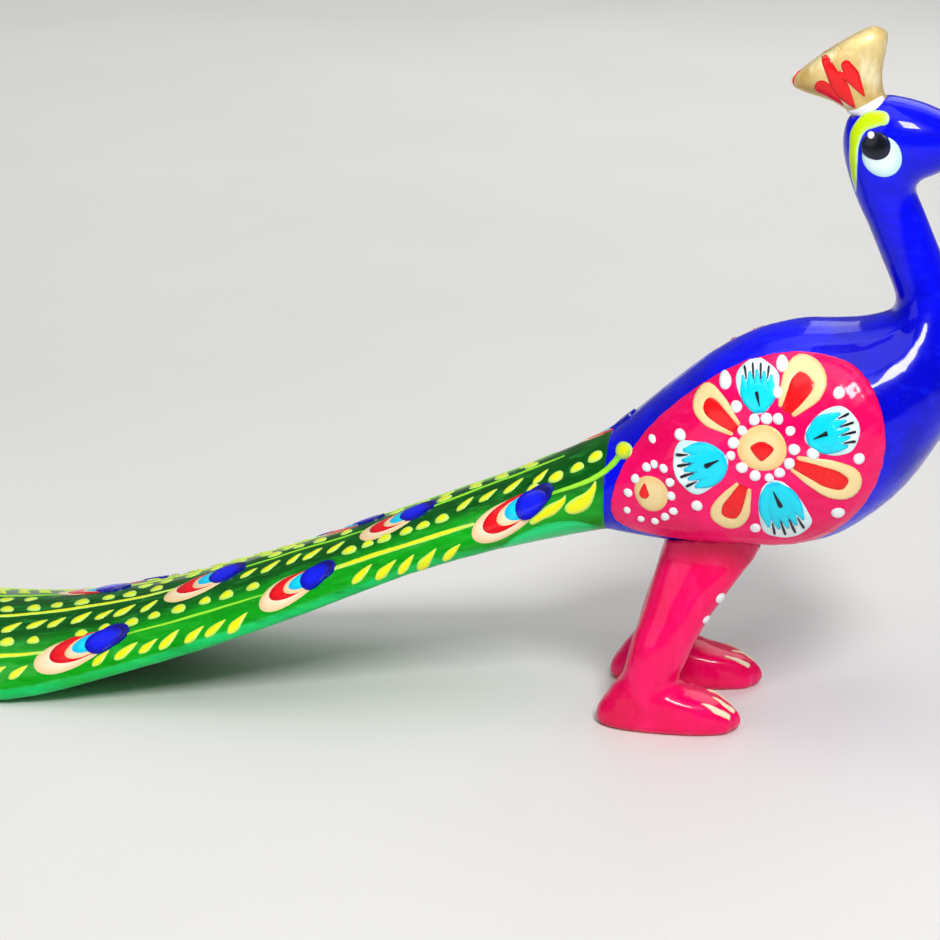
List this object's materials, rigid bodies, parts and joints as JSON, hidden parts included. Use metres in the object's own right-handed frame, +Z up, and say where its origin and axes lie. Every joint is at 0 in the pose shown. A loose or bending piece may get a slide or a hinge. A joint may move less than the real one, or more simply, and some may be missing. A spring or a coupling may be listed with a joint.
{
  "type": "painted wooden peacock figure",
  "caption": "Peacock figure carved in wood, standing on two broad feet and a long tail that rests on the table, painted in glossy enamel with flowers and feathers.",
  "frame": {"origin": "table level, under the middle of the overall length and width", "axes": "+X towards the beak, +Y towards the bird's left, +Z up"},
  "size_m": [0.1921, 0.045, 0.1089],
  "materials": {
    "blue_enamel": "gloss enamel over wood",
    "pink_enamel": "gloss enamel over wood",
    "gold_enamel": "gold paint over wood",
    "green_enamel": "gloss enamel over wood",
    "white_enamel": "gloss enamel strokes",
    "black_enamel": "gloss enamel strokes",
    "cyan_enamel": "gloss enamel strokes",
    "red_enamel": "gloss enamel strokes",
    "yellow_enamel": "gloss enamel strokes",
    "bare_wood": "bare, rough turned",
    "brad_steel": "drawn wire"
  },
  "bodies": {
    "root": {"torso": "blue_enamel", "neck_and_head": "blue_enamel", "crest": "gold_enamel", "tail": "green_enamel", "wing_right": "pink_enamel", "wing_left": "pink_enamel", "leg_right": "pink_enamel", "leg_left": "pink_enamel", "neck_peg": "bare_wood", "crest_peg": "bare_wood", "tail_pegs": "bare_wood", "leg_peg_right": "bare_wood", "leg_peg_left": "bare_wood", "wing_brads_right": "brad_steel", "wing_brads_left": "brad_steel"}
  },
  "joints": []
}
